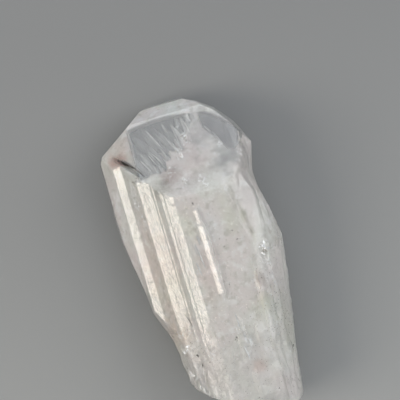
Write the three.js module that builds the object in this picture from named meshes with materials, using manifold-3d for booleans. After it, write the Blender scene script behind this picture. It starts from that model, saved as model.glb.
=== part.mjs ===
// A natural danburite crystal, broken off its rock and lying on one of its prism faces.
// Millimetres, +Z up. While it is shaped, X runs across the prism, Y along its growth axis from the broken
// base to the wedge-shaped tip, and Z up from the face it lies on. At the end the whole crystal is moved so
// that the origin is the middle of its bounding box's underside.
import * as THREE from "three";
import { mergeVertices } from "three/addons/utils/BufferGeometryUtils.js";
import Module from "manifold-3d";

// ---------- Driving dimensions ----------
const SHOULDER_Y = 36; // where the tip's faces begin, and where the section's heights are stated
const THINNING = 0.0032; // share of its height that the prism loses per mm from the shoulder to the base
const BODY_LOW_Y = -3; // the uncut prism runs past the base ...
const BODY_HIGH_Y = 50; // ... and past the tip
const LEFT_EDGE_Z = 4.6; // height of the sharp left-hand edge of the prism
const RIGHT_EDGE_Z = 7.0;
const FOOT_LEFT_X = -5.0; // the flat prism face that it lies on, from here ...
const FOOT_RIGHT_SHARE = 0.53; // ... to this share of the way out to the right-hand edge
const AXIS_Z = 6; // a height well inside the prism
const BRIGHT_SLOPE = 0.466; // rise over run of the growth steps' treads, which all face the same way
const FACE_LOW = [0, 33, 14.1]; // where the large tip face meets the front of the prism
const TIP_SLOPE = 0.7265; // fall over run of the large tip face, 36 degrees
const TIP_EDGE_Y = 44.6; // the straight edge along the top of the large tip face
const BAR_SIDES = 6; // sides of the slender crystals grown into the surface
const BAR_FLATNESS = 0.5; // a bar's thickness as a share of its width ...
const CREASE_FLATNESS = 1.5; // ... and that of the bar that cuts a crease
const BAR_POINT = 1.1; // how far a bar's pointed end reaches, as a share of its width
const SCOOP_DETAIL = 2; // subdivisions of the balls that scoop out the scars
const REACH = 160; // side of the blocks that stand for half-spaces

// The prism's two outlines seen from above: [y, x] of each bend, from the base to the tip.
const LEFT_OUTLINE = [
  [BODY_LOW_Y, -8.75],
  [18.2, -8.85],
  [20.5, -9.0],
  [23, -9.35],
  [26, -9.82],
  [29, -10.18],
  [32, -10.25],
  [35, -10.15],
  [BODY_HIGH_Y, -10.05],
];
const RIGHT_OUTLINE = [
  [BODY_LOW_Y, 7.5],
  [3.5, 8.4],
  [8, 9.1],
  [12, 9.75],
  [16, 10.5],
  [20.5, 11.2],
  [24, 11.65],
  [28.2, 11.0],
  [31.5, 10.25],
  [33.5, 10.15],
  [37.6, 11.2],
  [BODY_HIGH_Y, 11.3],
];

// Growth steps up the left of the front, from the left-hand edge inwards: [x where it ends, rise over run].
const LEFT_STEPS = [
  [-7.34, BRIGHT_SLOPE],
  [-6.5, 1.8],
  [-5.7, 2.2],
  [-4.06, BRIGHT_SLOPE],
  [-3.86, 1.6],
  [-3.69, BRIGHT_SLOPE],
  [-3.0, 1.05],
  [-2.67, BRIGHT_SLOPE],
  [-2.55, 1.8],
  [-1.39, BRIGHT_SLOPE],
  [-0.35, 0.2],
  [1.1, 0.1],
  [3.2, 0.05],
];
const STEPS_FROM = [-8.43, 7.6]; // x and height where the steps begin

// Down the right of the front: [distance in from the right-hand edge, height].
const RIGHT_SHOULDERS = [
  [4.4, 14.45],
  [2.7, 13.5],
  [1.05, 10.9],
];

// Steps across the two back faces: [share of the way down to the foot, how proud of the straight face].
const BACK_RIGHT_STEPS = [
  [0.16, 0.32],
  [0.3, 0.12],
  [0.38, 0.5],
  [0.62, 0.22],
  [0.68, 0.46],
  [0.86, 0.16],
];
const BACK_LEFT_STEPS = [
  [0.2, 0.26],
  [0.36, 0.06],
  [0.44, 0.36],
  [0.74, 0.12],
];

// Points of a section from the left-hand edge over the front to the right-hand edge.
const FRONT_POINTS = 1 + 1 + LEFT_STEPS.length + RIGHT_SHOULDERS.length + 1;

// ---------- Solids from three.js geometry ----------
const wasm = await Module();
wasm.setup();

function solidFrom(geometry) {
  const bare = new THREE.BufferGeometry().setAttribute("position", geometry.getAttribute("position"));
  if (geometry.index) bare.setIndex(geometry.index);
  const merged = mergeVertices(bare, 1e-4);
  return new wasm.Manifold(
    new wasm.Mesh({
      numProp: 3,
      vertProperties: new Float32Array(merged.attributes.position.array),
      triVerts: new Uint32Array(merged.index.array),
    }),
  );
}

// Everything on the side of a plane that its normal points to.
function beyond(point, normal) {
  const block = new THREE.BoxGeometry(REACH, REACH, REACH);
  block.translate(0, 0, REACH / 2);
  const turn = new THREE.Quaternion().setFromUnitVectors(
    new THREE.Vector3(0, 0, 1),
    new THREE.Vector3(...normal).normalize(),
  );
  block.applyQuaternion(turn);
  block.translate(...point);
  return solidFrom(block);
}

// ---------- The prism ----------
function outlineAt(outline, y) {
  const above = Math.max(
    1,
    outline.findIndex(([bendY]) => bendY >= y),
  );
  const [y0, x0] = outline[above - 1];
  const [y1, x1] = outline[above];
  return x0 + ((x1 - x0) * (y - y0)) / (y1 - y0);
}

// The points of a face with growth steps, between two corners that aren't part of the result.
function stepped(from, to, steps) {
  const [dx, dz] = [to[0] - from[0], to[1] - from[1]];
  const length = Math.hypot(dx, dz);
  const outward = [dz / length, -dx / length];
  return steps.map(([share, proud]) => [
    from[0] + dx * share + outward[0] * proud,
    from[1] + dz * share + outward[1] * proud,
  ]);
}

// The prism's section, clockwise seen from the base, starting at the left-hand edge.
function sectionAt(y) {
  const left = outlineAt(LEFT_OUTLINE, y);
  const right = outlineAt(RIGHT_OUTLINE, y);
  const height = 1 - THINNING * (SHOULDER_Y - y);
  const front = [[...STEPS_FROM]];
  for (const [x, slope] of LEFT_STEPS) {
    const [lastX, lastZ] = front[front.length - 1];
    front.push([x, lastZ + (x - lastX) * slope]);
  }
  for (const [inset, z] of RIGHT_SHOULDERS) front.push([right - inset, z]);
  const leftEdge = [left, LEFT_EDGE_Z];
  const rightEdge = [right, RIGHT_EDGE_Z];
  const footLeft = [FOOT_LEFT_X, 0];
  const footRight = [right * FOOT_RIGHT_SHARE, 0];
  return [
    leftEdge,
    ...front.map(([x, z]) => [x, z * height]),
    rightEdge,
    ...stepped(rightEdge, footRight, BACK_RIGHT_STEPS.map(([share, proud]) => [share, -proud])),
    footRight,
    footLeft,
    ...stepped(footLeft, leftEdge, BACK_LEFT_STEPS.map(([share, proud]) => [1 - share, -proud]).reverse()),
  ];
}

function makePrism() {
  const bends = [...LEFT_OUTLINE, ...RIGHT_OUTLINE].map(([y]) => y);
  const stations = [...new Set(bends)].sort((a, b) => a - b);
  const sections = stations.map(sectionAt);
  const count = sections[0].length;
  const positions = [];
  sections.forEach((section, i) => section.forEach(([x, z]) => positions.push(x, stations[i], z)));
  const baseMiddle = positions.length / 3;
  positions.push(0, stations[0], AXIS_Z, 0, stations[stations.length - 1], AXIS_Z);
  const triangles = [];
  for (let i = 0; i + 1 < stations.length; i++) {
    for (let j = 0; j < count; j++) {
      const a = i * count + j;
      const b = i * count + ((j + 1) % count);
      triangles.push(a, b, b + count, a, b + count, a + count);
    }
  }
  const top = (stations.length - 1) * count;
  for (let j = 0; j < count; j++) {
    const next = (j + 1) % count;
    triangles.push(baseMiddle, next, j, baseMiddle + 1, top + j, top + next);
  }
  const geometry = new THREE.BufferGeometry();
  geometry.setAttribute("position", new THREE.Float32BufferAttribute(positions, 3));
  geometry.setIndex(triangles);
  return solidFrom(geometry);
}

// ---------- The tip ----------
// Each face of the tip: a point on it, and the way it faces.
const faceZ = (y) => FACE_LOW[2] - TIP_SLOPE * (y - FACE_LOW[1]);
const LEFT_FACE = { point: [-5.12, 38, faceZ(38)], faces: [-0.61, TIP_SLOPE, 1] };
const TIP_FACES = [
  { point: FACE_LOW, faces: [0, TIP_SLOPE, 1] }, // the large clear face
  LEFT_FACE,
  { point: [0, TIP_EDGE_Y, faceZ(TIP_EDGE_Y)], faces: [0, 1.6, 1] }, // steep band above the large face
  { point: [-5.3, 44.2, 5], faces: [-0.555, 0.832, 0.1] }, // left-hand top edge
  { point: [-10.0, 40.4, 5], faces: [-0.9, 0.42, 0.12] }, // left-hand corner
  { point: [-3.4, 45.75, 3.6], faces: [-0.5, 0.85, 0.16] },
  { point: [-1.2, 46.55, 2.6], faces: [-0.2, 0.96, 0.2] },
  { point: [4.6, 45.85, 2.8], faces: [0.4, 0.9, 0.2] },
  { point: [6.4, 44.65, 3.4], faces: [0.58, 0.8, 0.17] },
  { point: [8.6, 42.35, 4.4], faces: [0.76, 0.65, 0.17] },
  { point: [10.2, 39.7, 5.6], faces: [0.875, 0.485, 0.16] }, // right-hand top edge
  { point: [10.5, 38.6, 8.2], faces: [0.9, 0.16, 0.42] }, // right-hand corner
  { point: [0, 46.7, 2.9], faces: [0, 0.72, -0.69] }, // underside
  { point: [-8.6, 41.9, 3.4], faces: [-0.5, 0.5, -0.7] },
  { point: [9.2, 41.6, 3.4], faces: [0.5, 0.42, -0.75] },
];

function cutTip(crystal) {
  return TIP_FACES.reduce((left, face) => left.subtract(beyond(face.point, face.faces)), crystal);
}

// ---------- The broken base and the broken left-hand side ----------
const BASE_BREAKS = [
  { point: [-4.0, 5.1, 8], faces: [-0.6, -0.78, 0.12] },
  { point: [-1.4, 3.1, 6], faces: [-0.5, -0.86, -0.16] },
  { point: [2.2, 1.1, 6], faces: [-0.3, -0.94, 0.2] },
  { point: [5.5, 0.35, 6], faces: [0.06, -0.99, -0.14] },
  { point: [7.7, 1.3, 6], faces: [0.6, -0.79, 0.1] },
  { point: [3.0, 0.9, 2.6], faces: [-0.1, -0.66, -0.74] },
  { point: [5.0, 1.2, 10.6], faces: [0.12, -0.62, 0.78] },
];
// The step in the left-hand side: what lies beyond both planes is gone.
const SIDE_BREAK = [
  { point: [-7.75, 15.7, 4.6], faces: [-0.88, -0.4, 0.24] },
  { point: [-6.55, 10.0, 4.6], faces: [-0.975, -0.1, 0.2] },
];

function cutBreaks(crystal) {
  const based = BASE_BREAKS.reduce((left, cut) => left.subtract(beyond(cut.point, cut.faces)), crystal);
  const [upper, lower] = SIDE_BREAK.map((cut) => beyond(cut.point, cut.faces));
  return based.subtract(upper.intersect(lower));
}

// ---------- Slender crystals grown into the sides, and the creases between them ----------
// A place on the front at x across and y along, and the way the surface faces there.
function onFront(x, y) {
  const front = sectionAt(y).slice(0, FRONT_POINTS);
  const next = Math.max(
    1,
    front.findIndex(([frontX]) => frontX >= x),
  );
  const [[x0, z0], [x1, z1]] = [front[next - 1], front[next]];
  const z = z0 + ((z1 - z0) * (x - x0)) / (x1 - x0);
  return { at: new THREE.Vector3(x, y, z), outward: new THREE.Vector3(z0 - z1, 0, x1 - x0).normalize() };
}

// The same on a back face, at a share of the way from the prism's side edge down to the foot.
function onBack(side, share, y) {
  const section = sectionAt(y);
  const footRight = section.findIndex(([, z]) => z === 0);
  const onRight = side === "right";
  const [x0, z0] = onRight ? section[FRONT_POINTS - 1] : section[0];
  const [x1, z1] = section[onRight ? footRight : footRight + 1];
  const outward = new THREE.Vector3(z0 - z1, 0, x1 - x0).multiplyScalar(onRight ? 1 : -1);
  const at = new THREE.Vector3(x0 + (x1 - x0) * share, y, z0 + (z1 - z0) * share);
  return { at, outward: outward.normalize() };
}

// A flat six-sided bar with pointed ends from one place on the surface to another. Its outer face stands
// proud of the surface, or with a negative height its inner face lies that far under it, to cut a crease.
function bar(from, to, width, height, turned) {
  const along = to.at.clone().sub(from.at);
  const length = along.length();
  const point = Math.min(width * BAR_POINT, length / 2);
  const radius = width / 2;
  const profile = [new THREE.Vector2(0, 0), new THREE.Vector2(radius, point)];
  profile.push(new THREE.Vector2(radius, length - point), new THREE.Vector2(0, length));
  const shape = new THREE.LatheGeometry(profile, BAR_SIDES);
  const flatness = height > 0 ? BAR_FLATNESS : CREASE_FLATNESS;
  shape.rotateY(Math.PI / BAR_SIDES);
  shape.scale(1, 1, flatness);
  shape.rotateY(THREE.MathUtils.degToRad(turned));
  along.normalize();
  const across = along.clone().cross(from.outward).normalize();
  const outward = across.clone().cross(along);
  const halfThick = radius * flatness * Math.cos(Math.PI / BAR_SIDES);
  const lift = height > 0 ? height - halfThick : height + halfThick;
  const origin = from.at.clone().addScaledVector(outward, lift);
  shape.applyMatrix4(new THREE.Matrix4().makeBasis(across, along, outward).setPosition(origin));
  return solidFrom(shape);
}

// On the front: [x, y of the lower end, x, y of the upper end, width, height, turn in degrees]. The ones
// that start below zero run out at the broken base.
const FRONT_BARS = [
  [1.3, 17.4, 1.15, 29.9, 1.4, 0.26, -25], // the white needle ...
  [1.1, 27.65, 0.95, 31.65, 1.0, 0.2, -25], // ... and its broken-off point
  [2.5, 6.4, 2.0, 17.0, 2.0, 0.17, -6],
  [3.9, -2, 3.3, 10.4, 2.6, 0.16, 6],
  [5.4, -2, 5.2, 15.4, 2.4, 0.2, -5],
  [6.4, 8.0, 7.1, 22.2, 2.0, 0.24, 6],
  [6.9, -2, 8.6, 20.4, 1.8, 0.28, -5],
  [6.2, -2, 6.7, 9.6, 2.4, 0.24, 7],
  [8.0, 3.0, 10.5, 23.6, 1.5, 0.2, 4],
  [8.7, 22.4, 8.3, 34.8, 3.4, 0.32, 0], // the bulge on the right
  [10.3, 22.4, 9.5, 34.2, 2.2, 0.14, 4],
  [-5.0, 2, -5.5, 13.0, 1.8, 0.22, -4],
  [-3.2, -2, -3.5, 10.4, 1.7, 0.2, 10],
  [-1.2, -2, -1.2, 9.0, 2.2, 0.16, 4],
];
const FRONT_CREASES = [
  [7.4, 24.2, 6.0, 33.6, 1.1, -0.26, 0], // along the bulge
  [9.4, 24.8, 9.3, 31.8, 0.9, -0.2, 8],
  [6.0, -2, 6.4, 11.6, 0.9, -0.2, -6],
  [7.6, 12.8, 8.4, 23.4, 1.0, -0.22, 5],
  [8.4, 4.0, 10.2, 21.2, 0.8, -0.18, 0],
  [-4.2, 1.0, -4.35, 9.4, 0.8, -0.2, 0],
  [-2.6, 14.6, -2.6, 34.2, 0.34, -0.12, 0], // the fine dark line in the right-hand growth steps
];

// On the back: [side, share down and y of one end, share and y of the other, width, height, turn].
const BACK_BARS = [
  ["right", 0.08, -2, 0.14, 26, 1.9, 0.28, 5],
  ["right", 0.55, -2, 0.5, 17, 2.6, 0.32, -6],
  ["right", 0.84, 8, 0.8, 34, 2.2, 0.26, 4],
  ["right", 0.3, 22, 0.34, 50, 2.4, 0.3, 0],
  ["right", 0.66, 27, 0.6, 50, 1.5, 0.26, 8],
  ["left", 0.5, 14, 0.46, 35, 2.2, 0.28, -5],
  ["left", 0.8, -2, 0.82, 22, 1.6, 0.22, 6],
  ["left", 0.22, 26, 0.28, 50, 1.5, 0.24, 0],
  ["left", 0.74, 29, 0.7, 50, 1.8, 0.2, 5],
];
const BACK_CREASES = [
  ["right", 0.32, -2, 0.34, 21, 1.2, -0.34, 0],
  ["right", 0.72, 2, 0.7, 25, 1.0, -0.28, 6],
  ["right", 0.47, 26, 0.5, 50, 1.0, -0.3, -5],
  ["left", 0.63, 9, 0.6, 29, 1.0, -0.28, 0],
  ["left", 0.36, 18, 0.38, 50, 0.8, -0.24, 5],
];

function frontBar([x0, y0, x1, y1, width, height, turned]) {
  return bar(onFront(x0, y0), onFront(x1, y1), width, height, turned);
}

function backBar([side, share0, y0, share1, y1, width, height, turned]) {
  return bar(onBack(side, share0, y0), onBack(side, share1, y1), width, height, turned);
}

function makeSides() {
  const bars = [...FRONT_BARS.map(frontBar), ...BACK_BARS.map(backBar)];
  const creases = [...FRONT_CREASES.map(frontBar), ...BACK_CREASES.map(backBar)];
  const grown = bars.reduce((whole, one) => whole.add(one), makePrism());
  return creases.reduce((whole, one) => whole.subtract(one), grown);
}

// ---------- Scooped scars of the break, and the crevice in the left-hand tip face ----------
// Balls that leave a hollow where they reach in: [x, y, z, radius].
const SCOOPS = [
  [-1.8, -1.9, 9.6, 5.6],
  [4.4, -4.4, 7.4, 6.2],
  [0.6, -2.4, 2.8, 5.0],
  [-6.4, 1.4, 3.4, 3.8],
  [9.6, -1.4, 3.4, 4.0],
  [-9.4, 31.5, -0.4, 3.3],
  [9.2, 44.0, 0.2, 3.3],
];
// From its low right-hand end to its high left-hand one, on the left-hand tip face.
const CREVICE = { from: [-4.5, 36.9], to: [-8.1, 40.9], width: 0.75, depth: 0.6 };

function scoop([x, y, z, radius]) {
  const ball = new THREE.IcosahedronGeometry(radius, SCOOP_DETAIL);
  ball.translate(x, y, z);
  return solidFrom(ball);
}

// A place on a plane at x and y, and the way the plane faces.
function onPlane({ point, faces }, x, y) {
  const z = point[2] - (faces[0] * (x - point[0]) + faces[1] * (y - point[1])) / faces[2];
  return { at: new THREE.Vector3(x, y, z), outward: new THREE.Vector3(...faces).normalize() };
}

function cutScars(crystal) {
  const [low, high] = [CREVICE.from, CREVICE.to].map(([x, y]) => onPlane(LEFT_FACE, x, y));
  const crevice = bar(low, high, CREVICE.width, -CREVICE.depth, 0);
  return [...SCOOPS.map(scoop), crevice].reduce((left, cut) => left.subtract(cut), crystal);
}

// The cuts may leave a loose splinter, which is dropped.
function largestOf(solid) {
  return solid.decompose().reduce((best, one) => (one.volume() > best.volume() ? one : best));
}

const crystal = largestOf(cutScars(cutBreaks(cutTip(makeSides()))));

// ---------- The part ----------
function geometryOf(solid) {
  const mesh = solid.getMesh();
  const geometry = new THREE.BufferGeometry();
  geometry.setAttribute("position", new THREE.BufferAttribute(new Float32Array(mesh.vertProperties), 3));
  geometry.setIndex(new THREE.BufferAttribute(new Uint32Array(mesh.triVerts), 1));
  return geometry;
}

const geometry = geometryOf(crystal);
geometry.computeBoundingBox();
const { min, max } = geometry.boundingBox;
geometry.translate(-(min.x + max.x) / 2, -(min.y + max.y) / 2, -min.z);

const milky = new THREE.MeshStandardMaterial({
  color: "#bdbab3",
  roughness: 0.25,
  metalness: 0,
  flatShading: true,
});
const body = new THREE.Mesh(geometry, milky);
body.name = "crystal";

const part = new THREE.Group();
part.add(body);

export default part;
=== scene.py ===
"""A danburite crystal lying on one prism face, seen from above.

It is built from its clear skin, what the skin holds, what lies on it, and the stage.
"""

import math

import bmesh
import bpy
import numpy as np
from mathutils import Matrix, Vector, noise
from mathutils.bvhtree import BVHTree


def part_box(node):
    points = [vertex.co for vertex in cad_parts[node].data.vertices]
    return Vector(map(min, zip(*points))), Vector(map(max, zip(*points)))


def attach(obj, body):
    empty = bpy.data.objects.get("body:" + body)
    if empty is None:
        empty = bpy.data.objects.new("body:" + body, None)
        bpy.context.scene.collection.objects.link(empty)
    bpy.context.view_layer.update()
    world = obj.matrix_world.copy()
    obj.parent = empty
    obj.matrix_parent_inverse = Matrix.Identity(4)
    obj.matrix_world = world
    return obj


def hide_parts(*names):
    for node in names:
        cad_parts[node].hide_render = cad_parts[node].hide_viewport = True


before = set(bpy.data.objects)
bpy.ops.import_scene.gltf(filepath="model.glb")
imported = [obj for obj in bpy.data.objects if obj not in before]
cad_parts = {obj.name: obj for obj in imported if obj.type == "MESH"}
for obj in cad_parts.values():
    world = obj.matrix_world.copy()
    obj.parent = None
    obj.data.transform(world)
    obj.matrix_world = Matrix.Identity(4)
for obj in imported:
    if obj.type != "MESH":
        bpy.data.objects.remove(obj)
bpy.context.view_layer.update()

# ---------- The crystal's own millimetres ----------
# x runs across the prism, y along its growth axis from the broken base to the tip, and z up from the face
# that it lies on.
LEFT_X = -10.25  # x of the crystal's left-hand side
TIP_Y = 46.478  # y of its tip
MM = 0.001
low, high = (np.array(corner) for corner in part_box("crystal"))
ORIGIN = np.array([low[0] - LEFT_X * MM, high[1] - TIP_Y * MM, low[2]])
ABOVE, BELOW = 20, -5  # heights clear of the crystal, from which rays are cast
DOWN = Vector((0, 0, -1))


def place(x, y, z):
    """A point given in the crystal's millimetres, in the frame's metres."""
    return Vector(ORIGIN + np.array([x, y, z]) * MM)


def own(points):
    """Points of the frame, in the crystal's millimetres."""
    return (points - ORIGIN) / MM


# ---------- Camera ----------
PHOTO_TURN = math.radians(16.5)  # how far the growth axis leans left of the picture's upright
VIEW_CENTRE = (1.986, 31.70)  # x and y in the middle of the picture
VIEW_WIDTH = 55.94  # millimetres across the picture, at the height of the crystal's side edges
VIEW_PLANE = 6.0  # that height
LENS = 110.0
SENSOR = 36.0  # its width, in millimetres like the lens
CLIP_START = 0.001


def make_camera():
    data = bpy.data.cameras.new("camera")
    data.lens = LENS
    data.sensor_width = SENSOR
    data.clip_start = CLIP_START
    camera = bpy.data.objects.new("camera", data)
    bpy.context.collection.objects.link(camera)
    distance = VIEW_WIDTH * LENS / SENSOR
    camera.location = place(*VIEW_CENTRE, VIEW_PLANE + distance)
    camera.rotation_euler = (0, 0, -PHOTO_TURN)
    bpy.context.scene.camera = camera


# ---------- Light ----------
LIT_SPOT = (1, 26, 6)  # what the lights face, in the crystal's millimetres
# Each softbox: the direction it stands in, its distance and side in metres, its radiance and its colour.
SOFTBOXES = {
    "key": ((-0.766, -0.06, 0.643), 0.30, 0.15, 6.8, (1.0, 0.92, 0.80)),
    "right": ((0.82, 0.10, 0.56), 0.50, 0.45, 2.35, (1.0, 0.98, 0.95)),
    "beyond": ((0.1, 0.90, 0.42), 0.50, 0.40, 1.5, (0.88, 0.94, 1.0)),
}
SKY_COLOUR = (0.94, 0.96, 1.0, 1)
SKY_STRENGTH = 0.6


def area_light(name, direction, distance, size, radiance, colour):
    """A square softbox that faces the crystal from a direction, with a given radiance."""
    data = bpy.data.lights.new(name, "AREA")
    data.size = size
    data.energy = radiance * math.pi * size * size
    data.color = colour
    light = bpy.data.objects.new(name, data)
    bpy.context.collection.objects.link(light)
    target = place(*LIT_SPOT)
    away = Vector(direction).normalized()
    light.location = target + away * distance
    light.rotation_euler = away.to_track_quat("Z", "Y").to_euler()


def make_lights():
    for name, softbox in SOFTBOXES.items():
        area_light(name, *softbox)
    world = bpy.data.worlds.new("world")
    world.use_nodes = True
    sky = world.node_tree.nodes["Background"]
    sky.inputs["Color"].default_value = SKY_COLOUR
    sky.inputs["Strength"].default_value = SKY_STRENGTH
    bpy.context.scene.world = world
    bpy.context.scene.view_settings.view_transform = "Standard"


# ---------- Fields ----------
def smooth(value, start, end):
    """0 before start, 1 after end, and a soft rise between them."""
    t = np.clip((value - start) / (end - start), 0, 1)
    return t * t * (3 - 2 * t)


def rough_field(points, scale, octaves=3, seed=0):
    """Fractal noise from about -1 to 1 at points in millimetres; scale is a lump's size on each axis."""
    shifted = points / np.array(scale) + np.array([17.3, 5.1, 9.7]) * (seed + 1)
    return np.array([noise.fractal(Vector(p), 1.0, 2.0, octaves) for p in shifted])


def across_line(x, line):
    """The value at x of a line through a list of (x, value)."""
    return np.interp(x, *zip(*line))


# ---------- Meshes ----------
def tree_of(mesh):
    """A mesh's faces, ready to be asked for what lies nearest or along a ray."""
    bm = bmesh.new()
    bm.from_mesh(mesh)
    tree = BVHTree.FromBMesh(bm)
    bm.free()
    return tree


def arrays_of(mesh):
    """The places and normals of a mesh's vertices."""
    points = np.empty(len(mesh.vertices) * 3)
    mesh.vertices.foreach_get("co", points)
    normals = np.empty(len(mesh.vertices) * 3)
    mesh.vertices.foreach_get("normal", normals)
    return points.reshape(-1, 3), normals.reshape(-1, 3)


def write_values(mesh, name, values):
    mesh.attributes.new(name, "FLOAT", "POINT").data.foreach_set("value", values.astype(np.float32))


def write_colours(mesh, name, colours):
    rgba = np.concatenate([colours, np.ones((len(colours), 1))], axis=1).astype(np.float32)
    mesh.attributes.new(name, "FLOAT_COLOR", "POINT").data.foreach_set("color", rgba.ravel())


def add_piece(name, mesh, material, replaced=()):
    piece = bpy.data.objects.new(name, mesh)
    bpy.context.collection.objects.link(piece)
    mesh.materials.append(material)
    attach(piece, "root")
    if replaced:
        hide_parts(*replaced)
    return piece


# ---------- The clear skin ----------
GRID = 0.36 * MM  # spacing of the cuts that make the surface fine enough to shape
MERGE = 1e-6  # metres within which points become one
SHARP = math.radians(9)  # an edge whose faces turn by more is a real edge
FLAT = math.radians(0.2)  # faces that turn by less are joined before they are cut up
WORN = 0.35  # share of wear from which an edge no longer looks sharp
WEAR_ROUNDS = 10
FOOT = (0.05, 0.5)  # heights between which wear and roughness set in, so that the rest face stays flat
# Below this line, given as (x, y), the front is etched and the bright growth steps fade out.
ETCHED_BELOW = [
    (-9, 12), (-6.4, 16.5), (-4.1, 16.5), (-3.4, 12.5), (-2.7, 11.5), (-1.5, 16), (-0.8, 12), (3, 12), (7, 20),
]
STEPS_PITTED = [(-7.5, 0.75), (-5, 1), (-2.5, 1.2)]  # how pitted the growth steps are, by x
# Painted shade: the skin's colour is greyed over the clear window on the right of the tip.
PAINTED_WINDOW_SHADE = {"x": 7.5, "y": 40.6, "across": 2.9, "along": 3.2}  # the clear window on the right of the tip


def slice_across(bm, axis, height):
    """Cuts the faces that cross a plane square to an axis."""
    faces = set()
    for edge in bm.edges:
        start, end = (vert.co[axis] - height for vert in edge.verts)
        if start * end < 0:
            faces.update(edge.link_faces)
    edges = {edge for face in faces for edge in face.edges}
    verts = {vert for face in faces for vert in face.verts}
    normal = Vector([float(axis == i) for i in range(3)])
    cut = [*verts, *edges, *faces]
    bmesh.ops.bisect_plane(bm, geom=cut, dist=MERGE / 10, plane_co=normal * height, plane_no=normal)


def fine_mesh(name):
    """The solid's mesh with its real edges marked sharp and its flat faces cut up finely."""
    bm = bmesh.new()
    bm.from_mesh(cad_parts["crystal"].data)
    bmesh.ops.remove_doubles(bm, verts=bm.verts, dist=MERGE)
    bmesh.ops.dissolve_limit(bm, angle_limit=FLAT, verts=bm.verts, edges=bm.edges)
    for edge in bm.edges:
        edge.smooth = edge.calc_face_angle() < SHARP
    for axis in (1, 0, 2):
        span = high[axis] - low[axis]
        count = math.ceil(span / GRID)
        for i in range(1, count):
            slice_across(bm, axis, low[axis] + span * i / count)
    bmesh.ops.triangulate(bm, faces=bm.faces)
    for face in bm.faces:
        face.smooth = True
    mesh = bpy.data.meshes.new(name)
    bm.to_mesh(mesh)
    bm.free()
    return mesh


def etched_share(mm):
    """How etched the surface is, from 0 on the clear faces to 1 low down and on the right."""
    x, y, _ = mm.T
    ragged = rough_field(mm, (1.5, 3.0, 1.5), 3, seed=6)
    right = smooth(x, 4.6, 7.6) * smooth(y + 2 * ragged, 27, 21)
    limit = across_line(x, ETCHED_BELOW) + 2.2 * ragged
    return np.maximum(right, smooth(y, limit + 1.5, limit - 3))


def worn_share(mm, etched):
    """How far edges are rounded: where it is etched, and along the right of the front."""
    x, y, z = mm.T
    front = smooth(z, 6.0, 8.5)
    right = smooth(x, 3.8, 5.2) * smooth(y, 38.5, 36.5) * front
    below_tip = smooth(x, -0.6, 1.6) * smooth(np.abs(y - 34), 3.4, 1.8) * front
    return np.maximum(etched, np.maximum(right, below_tip)) * smooth(z, *FOOT)


def even_out(mesh, share):
    """Rounds the surface off by a share at each point, as weathering does."""
    points, _ = arrays_of(mesh)
    ends = np.empty(len(mesh.edges) * 2, dtype=np.int32)
    mesh.edges.foreach_get("vertices", ends)
    first, second = ends.reshape(-1, 2).T
    size = len(points)
    count = np.bincount(ends, minlength=size)
    for _ in range(WEAR_ROUNDS):
        total = np.empty_like(points)
        for axis in range(3):
            there = np.bincount(first, points[second, axis], size)
            total[:, axis] = there + np.bincount(second, points[first, axis], size)
        points += (total / count[:, None] - points) * share[:, None] * 0.5
    mesh.vertices.foreach_set("co", points.ravel())
    was_sharp = np.empty(len(mesh.edges), dtype=bool)
    sharp_edges = mesh.attributes["sharp_edge"].data
    sharp_edges.foreach_get("value", was_sharp)
    sharp_edges.foreach_set("value", was_sharp & (share[first] < WORN) & (share[second] < WORN))


def pitted_share(mm):
    """How pitted the surface is: most on the growth steps, less on the rest, and not on the tip."""
    x, y, _ = mm.T
    steps = smooth(x, -8.7, -8.3) * smooth(x, -0.6, -1.4) * across_line(x, STEPS_PITTED)
    return (0.3 + 0.7 * steps) * smooth(y, 37, 34.5)


def painted_window_shade_share(mm):
    """How far the skin's colour is greyed as painted shade: only at the clear window on the right of the tip.
    """
    x, y, _ = mm.T
    away = np.hypot((x - PAINTED_WINDOW_SHADE["x"]) / PAINTED_WINDOW_SHADE["across"], (y - PAINTED_WINDOW_SHADE["y"]) / PAINTED_WINDOW_SHADE["along"])
    return smooth(away, 1.0, 0.6)


def make_crystal():
    """The skin: growth lines everywhere, lumps where it is etched, and edges rounded where it is worn."""
    mesh = fine_mesh("danburite")
    mm = own(arrays_of(mesh)[0])
    etched = etched_share(mm)
    even_out(mesh, worn_share(mm, etched))
    points, normals = arrays_of(mesh)
    pitted = pitted_share(mm)
    calm = 1 - 0.8 * pitted * (1 - etched)
    waves = rough_field(mm, (1.6, 9, 1.6), 2, seed=1) * (0.012 * calm + 0.04 * etched)
    lumps = rough_field(mm, (1.1, 1.7, 1.1), 3, seed=2) * (0.008 * calm + 0.10 * etched)
    grains = rough_field(mm, (0.6, 0.8, 0.6), 2, seed=3) * 0.045 * etched
    foot = smooth(mm[:, 2], *FOOT)
    moved = points + normals * ((waves + lumps + grains) * foot * MM)[:, None]
    mesh.vertices.foreach_set("co", np.clip(moved, low, high).ravel())
    write_values(mesh, "etched", etched)
    write_values(mesh, "pitted", pitted)
    write_values(mesh, "painted_window_shade", painted_window_shade_share(mm))
    return add_piece("danburite", mesh, skin_material(), replaced=["crystal"])


# ---------- The milky cloud inside ----------
CELL = 0.3  # spacing, in millimetres, of the points where the cloud is worked out
CLOUD_START = (LEFT_X - 1, TIP_Y - 47, -0.5)  # the lowest corner of the box that holds those points
CLOUD_SIZE = (24, 48, 16)  # that box's size
TIP_FACE = {"y": 33.0, "z": 14.1, "fall": 0.7265}  # where the large clear face starts, and how it falls
BEND = 0.27  # how far light bends towards the base, for each millimetre that it goes down through the tip
# The cloud's upper edge as it shows through the tip face, from left to right.
CLOUD_RIM = [
    (-9, 35.4), (-6, 35.6), (-4, 36.4), (-2.6, 37.0), (-1.4, 37.8), (-0.2, 38.6), (1.1, 39.2), (2.6, 40.6),
    (3.6, 42.4), (4.2, 44.4), (4.9, 44.0), (5.05, 41.7), (6.1, 40.0), (6.9, 39.1), (7.6, 37.4), (8.4, 37.1),
    (9.2, 37.7), (9.5, 38.7), (9.9, 40.3),
]
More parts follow.
